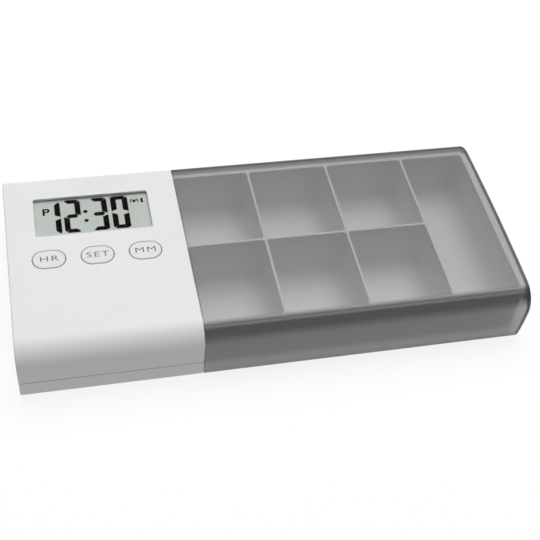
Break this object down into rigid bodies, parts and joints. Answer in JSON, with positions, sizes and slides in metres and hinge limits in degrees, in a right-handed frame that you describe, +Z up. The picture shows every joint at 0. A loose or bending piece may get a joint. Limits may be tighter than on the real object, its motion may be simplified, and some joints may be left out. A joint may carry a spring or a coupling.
{
  "type": "electronic pill box",
  "caption": "Slim pill organiser: clock module with a display and push buttons at one end, a divided tray fixed to it, and a smoked sleeve that slides off the tray.",
  "frame": {"origin": "centre of the flat base, under the middle of the length and width", "axes": "+X along the length, from the clock module to the closed end of the sleeve; +Y to the rear, the side of the display; +Z up"},
  "size_m": [0.16, 0.074, 0.0222],
  "materials": {
    "white_plastic": "fine satin ABS",
    "clear_plastic": "clear acrylic",
    "display_glass": "display glass with a grey-green reflector",
    "grey_plastic": "plain",
    "pink_rubber": "silicone",
    "board": "glass fibre board",
    "black_plastic": "epoxy",
    "tan_ceramic": "ceramic",
    "grey_rubber": "silicone",
    "carbon_rubber": "carbon filled",
    "brass": "plain",
    "steel": "nickel plated",
    "cell_can": "plain printed jacket",
    "tray_plastic": "milky translucent",
    "smoked_plastic": "smoked, lightly frosted"
  },
  "bodies": {
    "module_and_tray": {"upper_housing": "white_plastic", "lower_cover": "white_plastic", "tray": "tray_plastic", "display_lens": "clear_plastic", "lcd_panel": "display_glass", "lcd_frame": "grey_plastic", "connector_strips": "pink_rubber", "circuit_board": "board", "clock_chip": "black_plastic", "crystal": "steel", "capacitors": "tan_ceramic", "hour_dome": "grey_rubber", "mode_dome": "grey_rubber", "minute_dome": "grey_rubber", "piezo_disc": "brass", "buzzer_springs": "steel", "battery_cell_left": "cell_can", "battery_cell_right": "cell_can", "bridge_contact": "steel", "positive_contact": "steel", "negative_contact": "steel", "case_screws": "steel", "board_screws": "steel"},
    "sleeve": {"sleeve": "smoked_plastic"},
    "hour_button": {"hour_button": "white_plastic", "hour_contact": "carbon_rubber"},
    "mode_button": {"mode_button": "white_plastic", "mode_contact": "carbon_rubber"},
    "minute_button": {"minute_button": "white_plastic", "minute_contact": "carbon_rubber"},
    "battery_door": {"battery_door": "white_plastic"}
  },
  "joints": [
    {"name": "sleeve_slide", "type": "slide", "parent": "module_and_tray", "child": "sleeve", "axis": [1, 0, 0], "range_m": [0, 0.107]},
    {"name": "hour_press", "type": "slide", "parent": "module_and_tray", "child": "hour_button", "axis": [0, 0, -1], "range_m": [0, 0.0009], "stiffness_N_per_m": 1000, "springref_m": -0.0002, "deforming": ["hour_dome"]},
    {"name": "mode_press", "type": "slide", "parent": "module_and_tray", "child": "mode_button", "axis": [0, 0, -1], "range_m": [0, 0.0009], "stiffness_N_per_m": 1000, "springref_m": -0.0002, "deforming": ["mode_dome"]},
    {"name": "minute_press", "type": "slide", "parent": "module_and_tray", "child": "minute_button", "axis": [0, 0, -1], "range_m": [0, 0.0009], "stiffness_N_per_m": 1000, "springref_m": -0.0002, "deforming": ["minute_dome"]},
    {"name": "battery_door_hinge", "type": "hinge", "parent": "module_and_tray", "child": "battery_door", "pos_m": [-0.0518, 0.02365, 0.0009], "axis": [1, 0, 0], "range_deg": [0, 65]}
  ]
}
